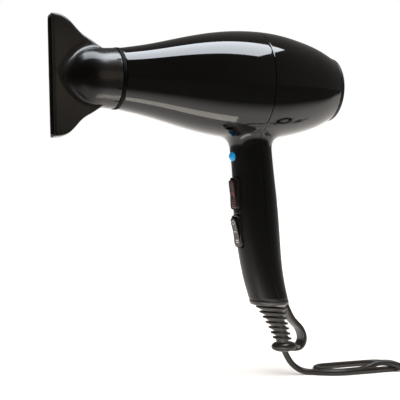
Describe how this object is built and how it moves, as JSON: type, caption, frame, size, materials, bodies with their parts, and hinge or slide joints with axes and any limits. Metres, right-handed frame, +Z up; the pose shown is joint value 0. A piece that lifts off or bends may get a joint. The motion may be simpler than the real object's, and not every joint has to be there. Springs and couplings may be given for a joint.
{
  "type": "hair dryer",
  "caption": "Salon-style hair dryer with a rigid grip, flat concentrator nozzle, rocker switches, cool shot button, hanging strap and mains lead.",
  "frame": {"origin": "middle of the hand grip, on the plane that the dryer is alike about from side to side", "axes": "+Z up along the grip towards the barrel, -X the way the air blows, +X towards the rear intake, +Y across the grip"},
  "size_m": [0.4461, 0.1169, 0.2907],
  "materials": {
    "gloss_black_housing": "high gloss moulded",
    "outlet_black": "heat resistant, matte",
    "nozzle_satin_black": "satin moulded",
    "spring_steel": "drawn steel",
    "grille_matte_black": "fine matte",
    "filter_steel": "woven mesh",
    "mica": "layered mica board",
    "heater_wire": "wound resistance wire",
    "cutout_ceramic": "unglazed",
    "motor_steel": "zinc plated",
    "bearing_bronze": "sintered bronze",
    "fan_plastic": "glass filled",
    "shroud_plastic": "glass filled",
    "switch_black": "satin moulded",
    "rocker_dark_red": "semi gloss",
    "rocker_black": "semi gloss",
    "terminal_brass": "stamped",
    "button_blue": "translucent gloss",
    "screw_zinc": "zinc plated",
    "terminal_block_white": "moulded",
    "capacitor_yellow": "resin case",
    "wire_insulation": "PVC insulation",
    "clamp_black": "moulded",
    "relief_rubber": "soft satin",
    "cord_rubber": "soft satin jacket",
    "tie_black": "flat strap",
    "plug_rubber": "moulded on",
    "pin_nickel": "nickel plated"
  },
  "bodies": {
    "dryer": {"front_housing": "gloss_black_housing", "rear_housing": "gloss_black_housing", "outlet_ring": "outlet_black", "outlet_grille": "outlet_black", "mica_sleeve": "mica", "mica_boards": "mica", "heating_coils": "heater_wire", "thermal_cutout": "cutout_ceramic", "thermal_fuse": "spring_steel", "motor_body": "motor_steel", "motor_bearings": "bearing_bronze", "fan_shroud": "shroud_plastic", "heat_switch_body": "switch_black", "speed_switch_body": "switch_black", "switch_terminals": "terminal_brass", "cool_shot_spring": "spring_steel", "cool_shot_switch": "switch_black", "housing_screws": "screw_zinc", "terminal_block": "terminal_block_white", "capacitor": "capacitor_yellow", "lead_wires": "wire_insulation", "cord_clamp_base": "clamp_black", "cord_clamp_bar": "clamp_black", "clamp_screws": "screw_zinc", "strain_relief": "relief_rubber", "cord_lead": "cord_rubber", "cord_drop": "cord_rubber", "cord_hank": "cord_rubber", "cord_run": "cord_rubber", "cord_coil": "cord_rubber", "coil_tie": "tie_black", "plug_boot": "plug_rubber", "plug_body": "plug_rubber", "plug_pins": "pin_nickel"},
    "nozzle_ring": {"nozzle_snap_ring": "spring_steel"},
    "nozzle": {"concentrator_nozzle": "nozzle_satin_black"},
    "intake_cap": {"rear_grille": "grille_matte_black", "filter_mesh": "filter_steel"},
    "rotor": {"fan": "fan_plastic", "motor_shaft": "spring_steel"},
    "heat_rocker": {"heat_rocker": "rocker_dark_red"},
    "speed_rocker": {"speed_rocker": "rocker_black"},
    "cool_shot_button": {"cool_shot_button": "button_blue"}
  },
  "joints": [
    {"name": "nozzle_pull", "type": "slide", "parent": "dryer", "child": "nozzle_ring", "axis": [-1, 0, 0], "range_m": [0, 0.025]},
    {"name": "nozzle_spin", "type": "hinge", "parent": "nozzle_ring", "child": "nozzle", "pos_m": [-0.1328, 0, 0.124], "axis": [1, 0, 0], "continuous": true},
    {"name": "intake_cap_pull", "type": "slide", "parent": "dryer", "child": "intake_cap", "axis": [1, 0, 0], "range_m": [0, 0.03]},
    {"name": "fan_spin", "type": "hinge", "parent": "dryer", "child": "rotor", "pos_m": [0, 0, 0.124], "axis": [1, 0, 0], "continuous": true},
    {"name": "heat_tilt", "type": "hinge", "parent": "dryer", "child": "heat_rocker", "pos_m": [-0.0178, 0, 0.0346], "axis": [0, 1, 0], "range_deg": [0, 12]},
    {"name": "speed_tilt", "type": "hinge", "parent": "dryer", "child": "speed_rocker", "pos_m": [-0.01523, 0, 0.00392], "axis": [0, 1, 0], "range_deg": [0, 12]},
    {"name": "cool_shot_press", "type": "slide", "parent": "dryer", "child": "cool_shot_button", "axis": [1, 0, 0], "range_m": [0, 0.0025], "stiffness_N_per_m": 800, "deforming": ["cool_shot_spring"]}
  ]
}
